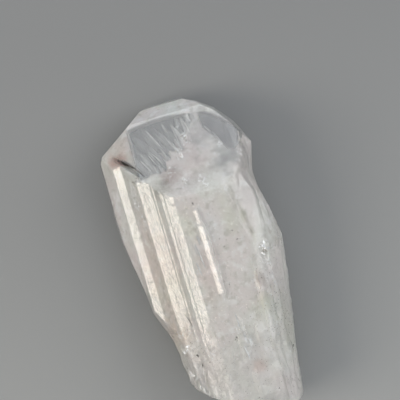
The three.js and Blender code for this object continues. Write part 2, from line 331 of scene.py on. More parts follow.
# The lower edge of the milky band along the top of the tip.
BAND_RIM = [(-5.5, 43.9), (-1.4, 44.3), (1.1, 44.3), (6.1, 43.4), (7.0, 42.8), (9.8, 40.1)]
BAND_DEPTHS = (0.15, 1.1)  # how far below the skin that band starts and ends
LEFT_END_X = -5.06  # left of here the tip is milky close under the skin
STREAKS_Y = 41.0  # y at which a leaning streak stands at its own x
STREAK_LEAN = [(-4.4, 0.58), (0.5, 0.38), (4.2, 0.03)]  # how far left a streak runs per millimetre up, by x
STREAK_REACH = 3.0  # how far the streaks move the cloud's upper edge
MARGIN = {"usual": 0.32, "uneven": 0.22, "least": 0.18}  # how far below the skin the cloud starts
STEPPED_DEPTH = 0.42  # how much deeper the cloud lies under the growth steps
WORN_DEPTH = 0.1  # how much deeper it lies on the right of the front and low down

# What the tints multiply the cloud's colour by; white, blue, grey, dusky and dark also serve as painted light
# and shade.
COLOURS = {
    "rosy": (1.03, 0.945, 0.93),
    "brown": (0.92, 0.83, 0.79),
    "rust": (0.80, 0.54, 0.46),
    "tan": (1.08, 1.01, 0.93),
    "green": (0.96, 0.98, 0.90),
    "olive": (0.82, 0.83, 0.74),
    "mossy": (0.64, 0.62, 0.58),
    "sienna": (0.80, 0.62, 0.56),
    "russet": (0.54, 0.45, 0.41),
    "dusky": (0.58, 0.58, 0.59),
    "dark": (0.39, 0.39, 0.40),
    "blue": (1.00, 1.03, 1.07),
    "grey": (0.80, 0.80, 0.81),
    "white": (1.14, 1.14, 1.15),
}
# Faint tints of the cloud, and light and shade painted on it where noted below: x and y of the middle, how
# far each reaches across and along, its strength and its colour.
TINTS_AND_PAINTED_SHADING = [
    # The left-hand face, round the crevice.
    (-7.2, 41.0, 2.6, 2.6, 1.0, "rosy"), (-7.4, 40.0, 1.9, 1.6, 0.9, "rust"),
    (-7.0, 41.5, 2.6, 3.0, 0.3, "grey"),
    # The strip down the left side; its white tints are painted light on the side that faces the key.
    (-9.2, 30.0, 1.6, 9.0, 0.6, "rosy"), (-9.2, 31.0, 1.6, 9.5, 1.0, "blue"),
    (-9.2, 30.0, 1.4, 9.5, 1.0, "white"), (-9.2, 23.0, 1.4, 5.0, 1.0, "white"),
    # The band along the top of the tip, where blue and white are a painted reflection, and under the clear
    # face, where the grey, dusky and dark tints are painted shade.
    (1.0, 44.6, 8.0, 2.2, 1.0, "blue"), (1.5, 45.4, 9.5, 2.0, 0.8, "white"),
    (2.6, 41.6, 2.0, 2.6, 0.5, "grey"), (1.2, 37.6, 5.5, 4.6, 1.0, "grey"),
    (0.8, 38.6, 6.0, 4.4, 0.6, "rosy"), (2.4, 38.6, 1.8, 1.6, 0.3, "rosy"),
    (3.2, 38.8, 3.0, 2.6, 0.75, "grey"), (2.7, 36.2, 3.8, 2.8, 0.6, "brown"),
    (6.0, 36.2, 4.2, 3.0, 0.7, "grey"), (5.0, 41.0, 2.7, 4.2, 0.95, "dusky"),
    (7.4, 36.3, 2.9, 2.7, 1.0, "dark"), (8.8, 36.7, 1.2, 1.8, 0.7, "dusky"),
    (1.2, 41.0, 1.3, 2.0, 0.6, "dusky"), (-2.6, 37.0, 1.6, 1.4, 0.7, "grey"),
    # The ridge below that face.
    (-0.7, 35.9, 2.3, 1.7, 1.0, "russet"), (-3.1, 35.4, 1.9, 1.4, 0.9, "mossy"),
    (-2.0, 34.3, 1.9, 1.2, 0.8, "mossy"), (1.4, 34.4, 4.6, 1.5, 0.5, "grey"),
    (-0.7, 35.7, 2.0, 1.5, 0.5, "brown"),
    # The growth steps and the needle; the whites along the steps and the needle are painted highlight.
    (-5.2, 22.0, 3.6, 13.0, 0.8, "tan"), (-6.5, 14.5, 2.2, 3.2, 0.9, "tan"),
    (-2.1, 24.5, 0.8, 9.5, 1.0, "grey"), (-6.8, 27.0, 1.0, 9.0, 0.5, "white"),
    (-8.0, 28.0, 0.8, 9.0, 0.9, "white"), (1.25, 23.5, 0.8, 7.0, 0.8, "white"),
    # The milky front.
    (0.0, 22.0, 1.9, 7.0, 0.8, "rosy"), (-0.4, 29.0, 1.5, 3.2, 0.8, "green"),
    (2.6, 28.0, 2.0, 3.0, 0.9, "blue"), (5.5, 28.6, 2.4, 4.0, 0.8, "green"),
    (6.7, 29.0, 1.8, 5.0, 0.6, "grey"), (6.2, 31.0, 0.9, 2.2, 0.9, "grey"),
    (6.2, 30.8, 0.6, 1.8, 1.0, "olive"), (6.9, 28.2, 0.6, 1.8, 1.0, "olive"),
    (7.4, 25.8, 0.5, 1.8, 1.0, "olive"),
    # The right shoulder, the bulge beside it, and the right end of the tip; here the grey is painted shade and
    # the whites are painted light along the right edge.
    (8.2, 30.8, 1.5, 4.4, 1.0, "grey"), (10.0, 28.4, 1.3, 4.4, 1.0, "white"),
    (10.3, 28.6, 1.1, 4.0, 1.0, "white"), (10.4, 36.0, 1.2, 3.0, 1.0, "white"),
    # The etched lower part.
    (6.6, 19.2, 0.9, 2.1, 0.8, "russet"), (6.6, 16.6, 1.1, 1.9, 1.0, "olive"),
    (5.8, 15.5, 2.2, 3.4, 0.7, "green"), (8.4, 12.0, 1.8, 8.0, 0.9, "green"),
    (8.8, 13.0, 2.6, 9.0, 0.85, "grey"), (3.4, 8.2, 1.4, 1.4, 1.0, "sienna"),
    (5.0, 6.0, 1.8, 1.8, 0.7, "rosy"), (1.0, 9.0, 5.5, 5.5, 0.5, "grey"),
    (3.0, 5.0, 5.5, 6.5, 0.3, "grey"), (-5.9, 8.6, 1.2, 1.8, 0.9, "white"),
    (-4.8, 5.6, 1.6, 2.2, 0.8, "white"),
]


def tip_face_height(y):
    return TIP_FACE["z"] - TIP_FACE["fall"] * (y - TIP_FACE["y"])


def depth_below_skin(points):
    """How far inside the solid each point of a grid lies, in millimetres, and below 0 outside it."""
    tree = tree_of(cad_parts["crystal"].data)
    depth = np.full(points.shape[:3], -CELL)
    for i in range(points.shape[0]):
        for j in range(points.shape[1]):
            x, y, _ = points[i, j, 0]
            top = tree.ray_cast(place(x, y, ABOVE), DOWN)[0]
            bottom = tree.ray_cast(place(x, y, BELOW), -DOWN)[0]
            if top is None or bottom is None:
                continue
            heights = points[i, j, :, 2] * MM + ORIGIN[2]
            for k in np.nonzero((heights > bottom.z) & (heights < top.z))[0]:
                depth[i, j, k] = tree.find_nearest(place(*points[i, j, k]))[3] / MM
    return depth


def cloud_margin(points, lumps):
    """How far below the skin the cloud starts."""
    x, y, z = np.moveaxis(points, 3, 0)
    front = smooth(z, 5, 8)
    stepped = smooth(x, -8.2, -7) * smooth(x, 0.6, -0.6) * smooth(y, 9, 13) * smooth(y, 37, 35) * front
    thin_side = smooth(x, -7.8, -9.0)
    worn = smooth(x, 3.8, 5.2) * smooth(y, 38, 36) * front
    margin = np.maximum(MARGIN["usual"] + MARGIN["uneven"] * lumps, MARGIN["least"]) * (1 - 0.45 * thin_side)
    return margin + STEPPED_DEPTH * stepped + WORN_DEPTH * np.maximum(worn, smooth(y, 14, 10))


def cloud_field(points):
    """Above 0 where the crystal is milky."""
    x, y, z = np.moveaxis(points, 3, 0)
    depth = depth_below_skin(points)
    flat = points.reshape(-1, 3)
    lumps = rough_field(flat, (2.4, 3.6, 2.4), 4, seed=4).reshape(x.shape)
    fine = rough_field(flat, (0.9, 1.3, 0.9), 3, seed=8).reshape(x.shape)
    across = flat[:, 0] + across_line(flat[:, 0], STREAK_LEAN) * (flat[:, 1] - STREAKS_Y)
    streaks = rough_field(np.stack([across, flat[:, 1], flat[:, 2]], axis=1), (1.0, 7, 2.2), 4, seed=5)
    streaks = streaks.reshape(x.shape) * smooth(x, -4.5, -2.5) * smooth(x, 5.4, 4.4)
    drawn_out = smooth(x, 5.6, 4.6)
    below = np.maximum(0, tip_face_height(y) - z)
    seen_y = y + BEND * below
    uneven = (0.35 * lumps + 0.3 * fine) * (0.3 + 0.7 * drawn_out)
    deeper = 0.14 * np.minimum(below, 5) * drawn_out
    limit = across_line(x, CLOUD_RIM) + uneven + STREAK_REACH * streaks + deeper
    body = np.minimum(depth - cloud_margin(points, lumps), limit - seen_y)
    left_end = np.minimum(depth - 0.16 - 0.06 * lumps, LEFT_END_X + 0.02 * below - x)
    band = np.minimum(depth - BAND_DEPTHS[0], BAND_DEPTHS[1] - depth)
    band = np.minimum(band, seen_y - across_line(x, BAND_RIM))
    return np.maximum(np.maximum(body, left_end), band)


def surface_of(field, corner, spacing):
    """Points and faces of the surface where a field on a grid crosses 0.

    Each cell that the surface crosses gives one point, in the middle of where its edges are crossed.
    """
    cells = tuple(n - 1 for n in field.shape)
    total = np.zeros(cells + (3,))
    count = np.zeros(cells)
    for axis in range(3):
        others = [a for a in range(3) if a != axis]
        for first in (0, 1):
            for second in (0, 1):
                start = [0, 0, 0]
                start[others[0]], start[others[1]] = first, second
                end = list(start)
                end[axis] = 1
                a = field[tuple(slice(s, s + n) for s, n in zip(start, cells))]
                b = field[tuple(slice(s, s + n) for s, n in zip(end, cells))]
                crosses = (a > 0) != (b > 0)
                share = np.where(crosses, a / np.where(crosses, a - b, 1), 0)
                spot = np.array(start, float) + share[..., None] * np.eye(3)[axis]
                total += np.where(crosses[..., None], spot, 0)
                count += crosses
    used = count > 0
    index = np.full(cells, -1)
    index[used] = np.arange(used.sum())
    points = corner + spacing * (np.argwhere(used) + total[used] / count[used][:, None])
    inside = field > 0
    faces = []
    for axis in range(3):
        u, v = (axis + 1) % 3, (axis + 2) % 3
        a = np.moveaxis(inside, (axis, u, v), (0, 1, 2))
        cell = np.moveaxis(index, (axis, u, v), (0, 1, 2))
        change = a[:-1, 1:-1, 1:-1] != a[1:, 1:-1, 1:-1]
        i, j, k = np.nonzero(change)
        quad = np.stack([cell[i, j, k], cell[i, j + 1, k], cell[i, j + 1, k + 1], cell[i, j, k + 1]], axis=1)
        backward = ~a[:-1, 1:-1, 1:-1][change]
        quad[backward] = quad[backward, ::-1]
        faces.append(quad)
    return points, np.concatenate(faces)


def tint_and_painted_shading_at(points):
    """The faint tint of the cloud, and the light and shade painted on it, at points in the crystal's
    millimetres.
    """
    tint_and_painted_shading = np.ones_like(points)
    uneven = 0.35 * rough_field(points, (1.4, 1.4, 1.4), 3, seed=9)
    for x, y, across, lengthwise, strength, colour in TINTS_AND_PAINTED_SHADING:
        away = np.hypot((points[:, 0] - x) / across, (points[:, 1] - y) / lengthwise)
        share = strength * smooth(away + uneven, 1.0, 0.15)
        tint_and_painted_shading *= 1 + (np.array(COLOURS[colour]) - 1) * share[:, None]
    return tint_and_painted_shading


def make_cloud():
    start = np.array(CLOUD_START)
    shape = [math.ceil(size / CELL) for size in CLOUD_SIZE]
    steps = np.stack(np.meshgrid(*(np.arange(n) for n in shape), indexing="ij"), axis=3)
    field = cloud_field(start + CELL * steps)
    points, faces = surface_of(field, start, CELL)
    mesh = bpy.data.meshes.new("cloud")
    mesh.from_pydata((ORIGIN + points * MM).tolist(), [], faces.tolist())
    mesh.shade_smooth()
    write_colours(mesh, "tint_and_painted_shading", tint_and_painted_shading_at(points))
    add_piece("cloud", mesh, cloud_material())


# ---------- Fibres, scratches, flakes, shards and painted shadows, specks and the stain ---
SIDES = 6  # corners round a spindle
RINGS = 8  # rings of corners along it
ETCHING_HEIGHT = 12.0  # a height near the front, at which the etching is read for the grains
GLINT_FACING = (-0.42, -0.03, 0.91)  # halfway between straight up and the key light
FIBRES_END = (9.0, 44.0)  # the largest x and y that a stray fibre reaches
PROUD = 0.25  # how far a flake's middle stands above the skin, as a share of its size
LINE_THICKNESS = 0.07  # of scratches and cracks
SCRATCH = {"strands": 3, "sunk": 0.03, "width": (0.05, 0.12), "shade": (0.6, 0.85)}
CRACK = {"sunk": 0.02, "width": (0.06, 0.1), "shade": 0.6}
FLAKES_IN_SPECK = 4
STAIN_STOPS = (0, 0.33, 0.67, 1)  # where along a lens of the stain the skin's height is read
# Each bundle of fibres under the tip face: its two ends seen from above, its width, how deep it lies, and
# how many fibres it has.
WISPS = [
    ((-2.7, 43.3), (-1.0, 39.7), 0.4, 0.9, 6), ((-0.1, 41.4), (1.4, 38.0), 0.4, 0.6, 8),
    ((0.2, 40.1), (1.1, 38.4), 0.3, 0.3, 5), ((1.0, 43.5), (1.8, 39.2), 0.35, 0.5, 8),
    ((2.5, 43.9), (3.1, 40.8), 0.35, 0.4, 8), ((4.1, 44.3), (4.3, 41.4), 0.4, 0.4, 8),
    ((-0.3, 44.1), (0.6, 41.7), 0.4, 1.7, 4), ((6.3, 40.3), (7.1, 38.1), 0.2, 0.3, 5),
    ((-4.3, 39.6), (-3.0, 37.2), 0.5, 1.1, 5), ((-3.3, 40.4), (-1.8, 37.8), 0.5, 1.2, 5),
    ((-1.6, 42.6), (-0.3, 40.0), 0.4, 1.2, 5), ((3.3, 44.3), (3.7, 42.2), 0.3, 0.5, 5),
    ((5.15, 41.9), (6.3, 39.9), 0.1, 0.2, 4),
]
# Fibres that reach up from the cloud's edge: deep wide veils, narrower ones above them, and bright threads.
STRAY_FIBRES = [
    {
        "count": 28, "x": (-4.6, 0.3), "length": (3.5, 7.5),
        "width": (1.0, 2.2), "depth": (3.2, 5.0), "shade": (0.20, 0.30),
    },
    {
        "count": 34, "x": (-3.6, 4.6), "length": (1.5, 4.5),
        "width": (0.3, 1.2), "depth": (1.2, 2.8), "shade": (0.24, 0.44),
    },
    {
        "count": 30, "x": (-2.8, 5.0), "length": (0.6, 2.6),
        "width": (0.06, 0.4), "depth": (0.2, 1.6), "shade": (0.5, 1.0),
    },
]
# Each cluster of bright flakes: its middle, how far it spreads, how many it has, and their size.
FLAKES = [
    (8.2, 23.2, 0.4, 16, 0.26), (8.45, 21.6, 0.3, 12, 0.1), (8.6, 20.6, 0.25, 7, 0.08),
    (0.6, 34.6, 0.3, 6, 0.1), (2.9, 34.4, 0.35, 8, 0.1), (3.4, 33.4, 0.2, 5, 0.09),
    (5.0, 32.5, 0.4, 7, 0.09), (6.7, 31.0, 0.2, 4, 0.1), (-6.4, 33.6, 0.4, 14, 0.1),
    (-6.1, 31.6, 0.35, 14, 0.09), (-6.3, 30.2, 0.3, 8, 0.08), (-1.0, 22.5, 0.2, 4, 0.08),
    (2.5, 40.6, 0.5, 26, 0.12), (1.35, 38.0, 0.12, 5, 0.13), (6.7, 38.2, 0.22, 12, 0.12),
    (9.1, 36.4, 0.3, 9, 0.1), (-6.3, 36.2, 0.4, 9, 0.1), (-4.7, 36.5, 0.3, 8, 0.1),
    (0.8, 39.0, 0.45, 14, 0.11), (-4.6, 6.4, 0.6, 12, 0.12), (3.0, 34.3, 0.3, 9, 0.12),
    (0.85, 34.8, 0.3, 9, 0.12), (3.4, 33.5, 0.2, 6, 0.12), (1.9, 42.3, 0.4, 8, 0.1),
    (4.6, 35.4, 0.7, 8, 0.09), (-1.0, 36.6, 0.7, 8, 0.09), (5.4, 37.2, 0.5, 6, 0.09),
    (4.4, 3.6, 0.5, 9, 0.09), (2.3, 14.0, 0.5, 14, 0.07), (2.5, 10.6, 0.5, 14, 0.07),
    (-4.8, 12.6, 0.6, 18, 0.08), (-2.3, 11.0, 0.5, 14, 0.08), (7.4, 15.5, 0.8, 34, 0.1),
    (8.4, 8.0, 0.7, 18, 0.08), (-4.0, 5.2, 0.5, 14, 0.1), (6.9, 12.6, 0.7, 22, 0.09),
    (8.6, 18.4, 0.4, 14, 0.09), (-5.9, 8.8, 0.5, 20, 0.12), (1.6, 13.6, 0.5, 14, 0.09),
    (-5.5, 12.9, 0.35, 16, 0.12), (-5.8, 14.6, 0.3, 12, 0.11), (-6.0, 12.2, 0.25, 12, 0.13),
]
# Clusters of dull broken facets, in the same form; beside the bright flakes their grey is painted shadow.
SHARDS_AND_SHADOWS = [
    (-5.7, 36.3, 0.35, 10, 0.17), (-6.2, 35.0, 0.3, 7, 0.13), (-6.2, 31.4, 0.25, 6, 0.1),
    (8.25, 23.0, 0.4, 11, 0.2), (9.45, 37.6, 0.3, 9, 0.14), (9.6, 36.4, 0.2, 5, 0.1),
    (-4.6, 12.4, 0.5, 12, 0.1), (-4.9, 15.0, 0.4, 8, 0.08), (7.9, 20.2, 0.4, 8, 0.09),
    (8.6, 16.6, 0.5, 12, 0.09), (9.0, 12.6, 0.4, 9, 0.09), (0.2, 17.6, 0.8, 6, 0.08),
    (2.6, 40.4, 0.5, 10, 0.11), (0.9, 38.9, 0.45, 7, 0.1), (2.9, 34.2, 0.35, 6, 0.1),
    (0.7, 34.9, 0.35, 6, 0.1), (7.3, 15.2, 0.8, 20, 0.09), (6.9, 12.4, 0.7, 14, 0.08),
    (8.8, 14.0, 0.5, 14, 0.1), (-3.9, 16.2, 0.35, 9, 0.09),
]
# Loose grains on the front: how many are tried, where, and their size.
WHITE_GRAINS = {"count": 1500, "x": (-6.5, 9.8), "y": (2.5, 34.0), "size": (0.04, 0.10)}
DARK_GRAINS = {"count": 1100, "x": (-8.0, 9.8), "y": (2.5, 34.5), "size": (0.035, 0.09)}
# Pale scratches in the front: their two ends.
SCRATCHES = [
    ((-0.5, 26.6), (-0.2, 24.4)), ((-0.2, 25.4), (0.1, 22.8)), ((-0.8, 24.0), (-0.5, 22.0)),
    ((0.2, 27.4), (0.35, 25.9)), ((2.2, 16.0), (2.35, 13.4)), ((2.5, 13.8), (2.6, 11.2)),
    ((2.1, 11.8), (2.5, 9.0)), ((3.1, 12.6), (3.3, 10.4)), ((-5.2, 37.9), (-4.5, 36.75)),
    ((-5.1, 37.7), (-4.5, 36.7)), ((-6.1, 13.6), (-5.8, 11.4)), ((-5.4, 9.2), (-4.8, 7.2)),
]
# Dark hairline cracks in the front: their two ends.
CRACKS = [
    ((8.4, 9.9), (8.45, 8.2)), ((-4.35, 17.4), (-3.9, 15.9)), ((-4.1, 16.9), (-3.75, 15.4)),
    ((-4.0, 10.7), (-4.15, 9.6)), ((2.2, 5.15), (2.9, 5.1)), ((7.9, 4.5), (8.1, 3.7)),
    ((9.0, 16.4), (9.1, 14.9)), ((7.6, 13.8), (7.9, 12.2)), ((-0.9, 34.1), (0.2, 33.8)),
    ((6.2, 31.0), (6.3, 30.3)), ((7.3, 26.2), (7.5, 25.4)),
]
# Dark specks: x, y and size.
SPECKS = [
    (0.85, 31.6, 0.22), (3.3, 24.85, 0.17), (1.4, 12.6, 0.34), (-4.25, 11.5, 0.34), (-4.0, 10.1, 0.2),
    (-2.9, 10.3, 0.18), (5.3, 25.3, 0.18), (6.9, 19.5, 0.22), (2.6, 19.8, 0.17), (8.6, 9.0, 0.26),
    (2.0, 20.4, 0.15), (4.9, 26.6, 0.15), (3.0, 26.0, 0.12), (6.3, 12.4, 0.14), (5.0, 4.4, 0.15),
]
# Each lens of the stain in the crevice: its two ends, its width, how deep it lies, and how rusty it is.
STAIN = [
    ((-7.05, 40.05), (-5.75, 38.85), 0.64, 0.14, 0.0), ((-6.4, 39.5), (-5.1, 38.1), 0.3, 0.12, 0.02),
    ((-5.5, 38.5), (-4.8, 37.5), 0.08, 0.08, 0.15), ((-7.7, 40.55), (-6.8, 39.9), 0.26, 0.2, 0.3),
    ((-7.9, 40.3), (-7.0, 39.8), 0.2, 0.2, 0.6), ((-7.5, 39.75), (-6.75, 39.4), 0.26, 0.2, 0.7),
    ((-7.9, 40.8), (-7.2, 40.3), 0.16, 0.2, 0.8),
]


class Faces:
    """Points and faces of many small solids, each with a shade of its own, gathered for one mesh."""

    def __init__(self):
        self.points = []
        self.faces = []
        self.shades = []
        self.shade = 1.0

    def tube(self, rings, tips):
        """A closed tube through rings of points, ending in two points."""
        first = len(self.points)
        count = len(rings[0])
        for ring in rings:
            self.points.extend(ring)
        self.points.extend(tips)
        for i in range(len(rings) - 1):
            for j in range(count):
                a, b = first + i * count + j, first + i * count + (j + 1) % count
                self.faces.append((a, b, b + count, a + count))
        start, end = len(self.points) - 2, len(self.points) - 1
        last = first + (len(rings) - 1) * count
        for j in range(count):
            k = (j + 1) % count
            self.faces.append((start, first + k, first + j))
            self.faces.append((end, last + j, last + k))
        self.shades.extend([self.shade] * (end + 1 - first))

    def spindle(self, route, width, thickness, rng):
        """A lens drawn out along a route, widest in its middle and a little uneven."""
        route = np.array(route, float)
        lengthwise = (route[-1] - route[0]) / np.linalg.norm(route[-1] - route[0])
        side = np.cross(lengthwise, (0, 0, 1))
        side /= np.linalg.norm(side)
        up = np.cross(side, lengthwise)
        share = np.linspace(0, 1, RINGS + 2)
        stops = np.linspace(0, 1, len(route))
        middle = np.stack([np.interp(share, stops, route[:, i]) for i in range(3)], axis=1)
        turn = np.arange(SIDES) * 2 * math.pi / SIDES
        rings = []
        for t, spot in zip(share[1:-1], middle[1:-1]):
            grow = math.sin(math.pi * t) ** 0.7 * rng.uniform(0.7, 1.2)
            wide = np.cos(turn)[:, None] * side * width / 2 * grow
            thick = np.sin(turn)[:, None] * up * thickness / 2 * grow
            rings.append([tuple(p) for p in spot + wide + thick])
        self.tube(rings, [tuple(middle[0]), tuple(middle[-1])])

    def flake(self, spot, size, rng, facing=(0, 0, 1), scatter=0.65, thickness=0.25):
        """A small lozenge that faces roughly one way."""
        normal = np.array(facing) + rng.normal(size=3) * scatter
        normal /= np.linalg.norm(normal)
        side = np.cross(normal, rng.normal(size=3))
        side /= np.linalg.norm(side)
        other = np.cross(normal, side)
        ring = [spot + side * size, spot + other * size * 0.6, spot - side * size, spot - other * size * 0.7]
        tips = [spot - normal * size * thickness, spot + normal * size * thickness]
        self.tube([[tuple(p) for p in ring]], [tuple(p) for p in tips])

    def mesh(self, name, smoothed):
        mesh = bpy.data.meshes.new(name)
        points = np.clip([place(*p) for p in self.points], low, high)
        mesh.from_pydata(points.tolist(), [], self.faces)
        bm = bmesh.new()
        bm.from_mesh(mesh)
        bmesh.ops.recalc_face_normals(bm, faces=bm.faces)
        bm.to_mesh(mesh)
        bm.free()
        write_values(mesh, "shade", np.array(self.shades))
        if smoothed:
            mesh.shade_smooth()
        return mesh


class Front:
    """Answers how high the skin's upper side is."""

    def __init__(self, skin):
        self.tree = tree_of(skin.data)

    def height(self, x, y):
        """The height at x and y, or None where there is no crystal."""
        hit = self.tree.ray_cast(place(x, y, ABOVE), DOWN)[0]
        return None if hit is None else (hit.z - ORIGIN[2]) / MM

    def route(self, corners, sunk):
        return [(x, y, self.height(x, y) - sunk) for x, y in corners]


def under_tip(seen, sunk):
    """The place under the tip face that shows at a point seen from above."""
    y = seen[1] - BEND * sunk
    return (seen[0], y, tip_face_height(y) - sunk)


def add_fibre(faces, start, end, width, depth, rng):
    """One thin fibre under the tip face, which sinks a little towards its lower end."""
    middle = (start + end) / 2 + rng.normal(0, 0.05, 2)
    route = [under_tip(start, depth), under_tip(middle, depth * 1.15), under_tip(end, depth * 1.3)]
    faces.spindle(route, width, width * 0.8, rng)


def make_wisps():
    rng = np.random.default_rng(11)
    faces = Faces()
    for start, end, spread, depth, count in WISPS:
        start, end = np.array(start), np.array(end)
        for _ in range(count):
            aside = np.array([rng.normal(0, spread / 2), 0])
            first, last = rng.uniform(0, 0.35), rng.uniform(0.6, 1.1)
            fan = aside * rng.uniform(0.2, 0.9)
            top = start + (end - start) * first + fan
            bottom = start + (end - start) * last + aside
            faces.shade = rng.uniform(0.3, 1.0)
            add_fibre(faces, top, bottom, rng.uniform(0.08, 0.2), depth * rng.uniform(0.6, 1.3), rng)
    for fibres in STRAY_FIBRES:
        for _ in range(fibres["count"]):
            x = rng.uniform(*fibres["x"])
            bottom = np.array([x, across_line(x, CLOUD_RIM) - rng.uniform(0.2, 1.2)])
            lean = across_line(x, STREAK_LEAN) + rng.normal(0, 0.1)
            length = rng.uniform(*fibres["length"])
            top = np.minimum(bottom + np.array([-lean, 1.0]) * length, FIBRES_END)
            faces.shade = rng.uniform(*fibres["shade"])
            add_fibre(faces, top, bottom, rng.uniform(*fibres["width"]), rng.uniform(*fibres["depth"]), rng)
    add_piece("wisps", faces.mesh("wisps", True), wisp_material())


def make_scratches(front):
    rng = np.random.default_rng(15)
    faces = Faces()
    for start, end in SCRATCHES:
        for _ in range(SCRATCH["strands"]):
            shift = rng.normal(0, 0.1, 2)
            ends = [np.array(start) + shift, np.array(end) + shift]
            faces.shade = rng.uniform(*SCRATCH["shade"])
            route = front.route(ends, SCRATCH["sunk"])
            faces.spindle(route, rng.uniform(*SCRATCH["width"]), LINE_THICKNESS, rng)
    add_piece("scratches", faces.mesh("scratches", True), flake_material("scratches"))


def add_cluster(faces, front, rng, cluster, **manner):
    """Flakes gathered round one place on the front, half sunk into it."""
    x, y, spread, count, size = cluster
    for _ in range(count):
        at = np.array([x, y]) + rng.normal(0, spread, 2) * (0.7, 1)
        flake_size = size * rng.uniform(0.5, 1.3)
        top = front.height(*at)
        if top is not None:
            faces.flake(np.array([*at, top + PROUD * flake_size]), flake_size, rng, **manner)


def add_grains(faces, front, rng, grains, **manner):
    """Single grains all over the front, thickest where it is etched."""
    tries = np.full((grains["count"], 3), ETCHING_HEIGHT)
    tries[:, 0] = rng.uniform(*grains["x"], grains["count"])
    tries[:, 1] = rng.uniform(*grains["y"], grains["count"])
    share = 0.2 + 0.8 * etched_share(tries)
    for x, y, _ in tries[rng.uniform(size=len(tries)) < share]:
        top = front.height(x, y)
        if top is not None:
            faces.shade = rng.uniform(0.6, 1.0)
            faces.flake(np.array([x, y, top + 0.01]), rng.uniform(*grains["size"]), rng, **manner)


def make_flakes(front):
    """Bright flakes, of which most are tilted so that they mirror the key light."""
    rng = np.random.default_rng(12)
    faces = Faces()
    glinting = {"facing": GLINT_FACING, "scatter": 0.11, "thickness": 0.04}
    for cluster in FLAKES:
        add_cluster(faces, front, rng, cluster, **glinting)
    add_grains(faces, front, rng, WHITE_GRAINS, facing=GLINT_FACING, scatter=0.25, thickness=0.08)
    add_piece("flakes", faces.mesh("flakes", False), flake_material("flakes"))


def make_shards_and_shadows(front):
    rng = np.random.default_rng(16)
    faces = Faces()
    for cluster in SHARDS_AND_SHADOWS:
        add_cluster(faces, front, rng, cluster)
    faces.shade = CRACK["shade"]
    for ends in CRACKS:
        faces.spindle(front.route(ends, CRACK["sunk"]), rng.uniform(*CRACK["width"]), LINE_THICKNESS, rng)
    add_grains(faces, front, rng, DARK_GRAINS)
    add_piece("shards_and_shadows", faces.mesh("shards_and_shadows", False), shard_and_shadow_material())


def make_specks(front):
    rng = np.random.default_rng(13)
    faces = Faces()
    for x, y, size in SPECKS:
        z = front.height(x, y)
        for _ in range(FLAKES_IN_SPECK):
            spot = np.array([x, y, z]) + rng.normal(0, size / 4, 3) * (1, 1, 0.2)
            faces.flake(spot, size / 2, rng)
    add_piece("specks", faces.mesh("specks", False), speck_material())


def make_stain(front):
    rng = np.random.default_rng(14)
    faces = Faces()
    for start, end, width, sunk, rusty in STAIN:
        corners = [np.array(start) + (np.array(end) - start) * share for share in STAIN_STOPS]
        faces.shade = rusty
        faces.spindle(front.route(corners, sunk), width, width * 0.5, rng)
    add_piece("stain", faces.mesh("stain", True), stain_material())


# ---------- Materials ----------
MIX_FIRST, MIX_SECOND, MIX_RESULT = 6, 7, 2  # the colour sockets of a Mix node
# The skin's own colour, and the greyer colour painted over the right-hand window as shade.
SKIN_COLOUR, PAINTED_WINDOW_SHADE_COLOUR = (0.96, 0.96, 0.955), (0.78, 0.78, 0.80)
DANBURITE_IOR = 1.63
TRANSMITTED = 0.86
ABSORBING_COLOUR = (0.80, 0.86, 0.84, 1)
ABSORBING_DENSITY = 12.0
GRAIN_DEPTH = 0.05 * MM
CLOUD_COLOUR = (0.82, 0.77, 0.75)
# What lies over that colour: a noise's size, detail and seed, the values between which it sets in, and
# a colour.
CLOUD_LAYERS = [
    (5, 2, 1, 0.40, 0.62, (0.79, 0.80, 0.75)),
    (1.2, 5, 2, 0.50, 0.68, (0.93, 0.925, 0.91)),
    (0.9, 5, 3, 0.51, 0.70, (0.64, 0.62, 0.57)),
    (0.3, 3, 4, 0.60, 0.74, (0.58, 0.56, 0.51)),
    (0.35, 3, 6, 0.60, 0.72, (0.97, 0.97, 0.96)),
]
STAIN_DARK, STAIN_RUSTY = (0.018, 0.014, 0.012), (0.46, 0.25, 0.19)


class Nodes:
    """A material with short calls for the nodes it needs."""

    def __init__(self, name):
        self.material = bpy.data.materials.new(name)
        self.material.use_nodes = True
        self.tree = self.material.node_tree
        self.shader = self.tree.nodes["Principled BSDF"]

    def add(self, kind, **values):
        node = self.tree.nodes.new("ShaderNode" + kind)
        for name, value in values.items():
            if name in node.inputs:
                self.put(value, node.inputs[name])
            else:
                setattr(node, name, value)
        return node

    def put(self, value, socket):
        if isinstance(value, bpy.types.NodeSocket):
            self.tree.links.new(value, socket)
        else:
            socket.default_value = value

    def noise(self, size, detail, seed):
        """Fractal noise fixed to the crystal; size is a lump's size in millimetres."""
        node = self.add("TexNoise", noise_dimensions="4D", Scale=1 / (size * MM), Detail=detail, W=seed)
        self.put(self.add("TexCoord").outputs["Object"], node.inputs["Vector"])
        return node.outputs["Fac"]

    def ramp(self, value, start, end, low_value=0.0, high_value=1.0):
        node = self.add("MapRange", interpolation_type="SMOOTHSTEP")
        self.put(value, node.inputs["Value"])
        ends = {"From Min": start, "From Max": end, "To Min": low_value, "To Max": high_value}
        for name, number in ends.items():
            node.inputs[name].default_value = number
        return node.outputs["Result"]

    def blend(self, share, first, second, kind="MIX"):
        node = self.add("Mix", data_type="RGBA", blend_type=kind, clamp_result=True)
        self.put(share, node.inputs["Factor"])
        for socket, colour in ((node.inputs[MIX_FIRST], first), (node.inputs[MIX_SECOND], second)):
            plain = not isinstance(colour, bpy.types.NodeSocket)
            self.put((*colour, 1) if plain else colour, socket)
        return node.outputs[MIX_RESULT]

    def sum(self, first, second, share):
        """first + second * share."""
        node = self.add("Math", operation="MULTIPLY_ADD")
        for socket, value in zip(node.inputs, (second, share, first)):
            self.put(value, socket)
        return node.outputs["Value"]

    def value_of(self, name):
        return self.add("Attribute", attribute_name=name).outputs["Fac"]


